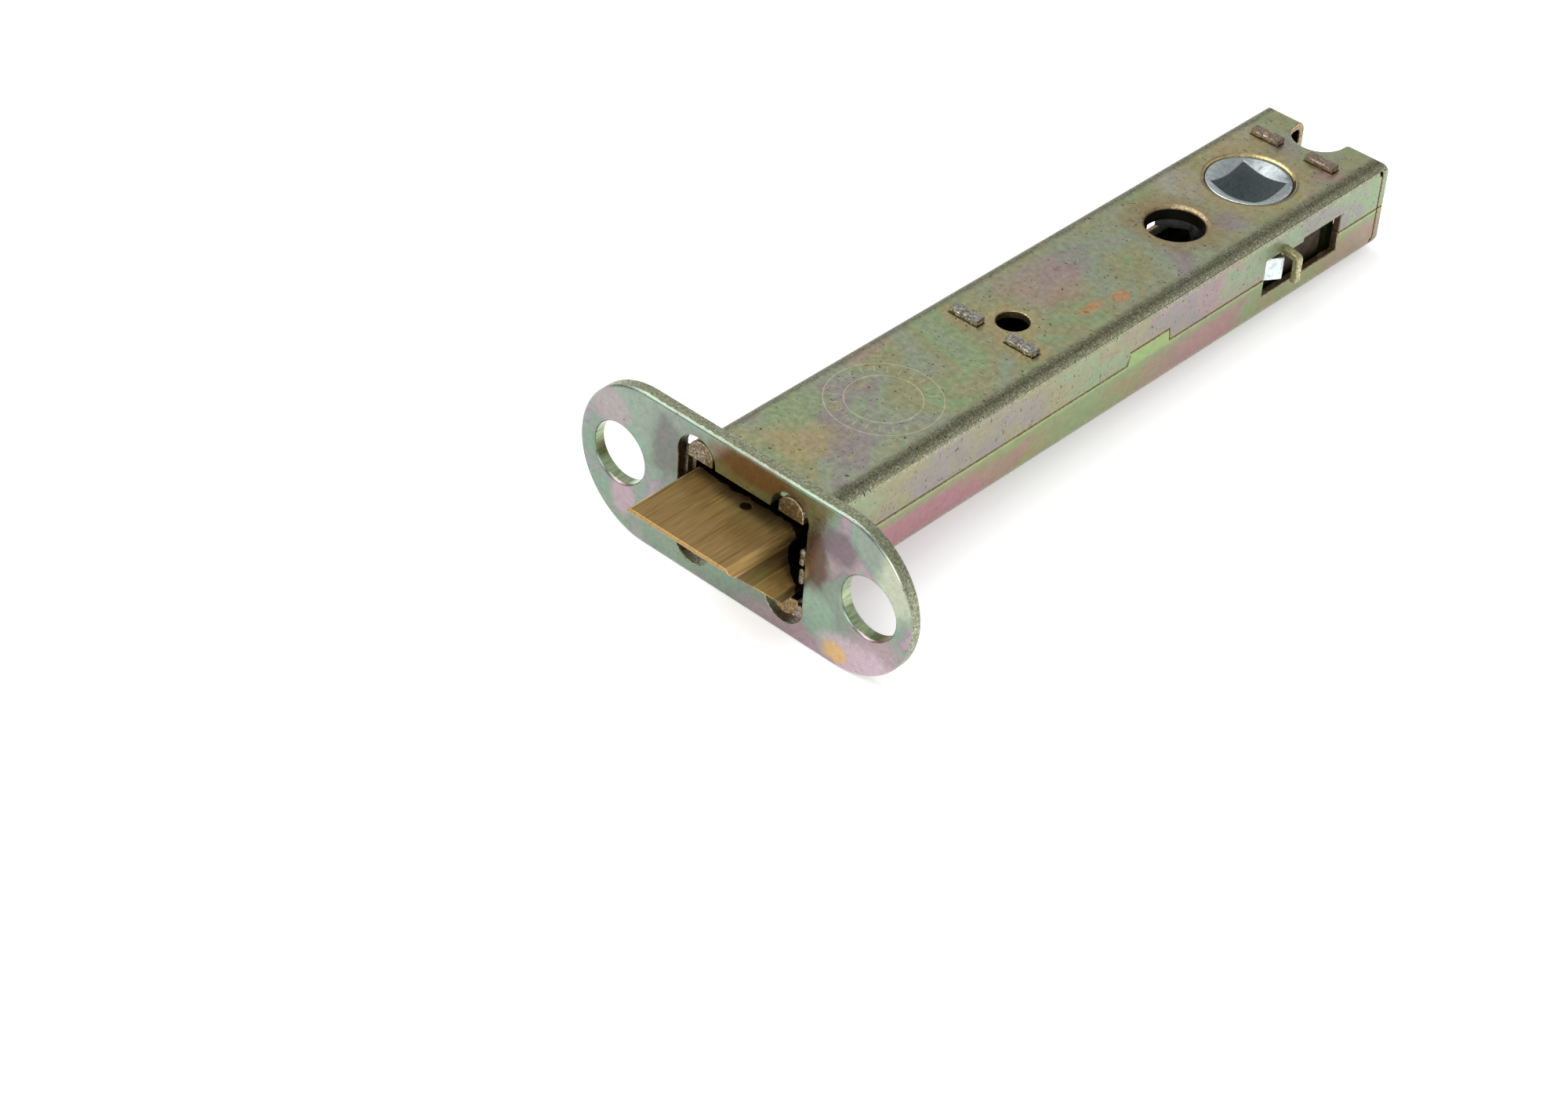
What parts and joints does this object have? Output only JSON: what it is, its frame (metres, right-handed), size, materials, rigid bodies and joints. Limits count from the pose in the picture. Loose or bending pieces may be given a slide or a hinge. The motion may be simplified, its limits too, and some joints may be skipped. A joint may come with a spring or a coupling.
{
  "type": "door latch",
  "caption": "Tubular mortice door latch: long sheet-steel case on a rounded forend plate, sprung bevelled brass bolt, and a follower with a square spindle socket.",
  "frame": {"origin": "centre of the forend's front face", "axes": "+X along the forend, +Y back along the case away from the bolt, +Z along the spindle's axis, with the bolt's bevel facing -Z"},
  "size_m": [0.0595, 0.1398, 0.0248],
  "materials": {
    "forend_steel": "yellow-passivated zinc plating",
    "case_steel": "yellow-passivated zinc plating, iridescent",
    "bar_steel": "zinc plating",
    "spring_steel": "drawn wire",
    "bolt_brass": "brushed",
    "follower_zinc": "die cast, tumbled"
  },
  "bodies": {
    "case": {"forend_plate": "forend_steel", "upper_shell": "case_steel", "lower_shell": "case_steel", "spring_plate": "bar_steel", "rear_plate": "bar_steel", "return_spring_right": "spring_steel", "return_spring_left": "spring_steel"},
    "follower": {"follower": "follower_zinc"},
    "draw_frame": {"draw_bar_right": "bar_steel", "draw_bar_left": "bar_steel", "draw_bridge": "bar_steel", "spring_guide_right": "bar_steel", "spring_guide_left": "bar_steel", "bolt_spring": "spring_steel"},
    "bolt": {"latch_bolt": "bolt_brass"}
  },
  "joints": [
    {"name": "follower_turn", "type": "hinge", "parent": "case", "child": "follower", "pos_m": [0, 0.108, 0], "axis": [0, 0, 1], "range_deg": [0, 67.5]},
    {"name": "draw_slide", "type": "slide", "parent": "case", "child": "draw_frame", "axis": [0, 1, 0], "range_m": [0, 0.012], "stiffness_N_per_m": 1500, "springref_m": -0.006, "deforming": ["return_spring_right", "return_spring_left"]},
    {"name": "bolt_slide", "type": "slide", "parent": "draw_frame", "child": "bolt", "axis": [0, 1, 0], "range_m": [0, 0.012], "stiffness_N_per_m": 800, "springref_m": -0.006, "deforming": ["bolt_spring"]}
  ],
  "couplings": [
    {"joint": "follower_turn", "follows": "draw_slide", "rad_per_m": 98.17}
  ]
}
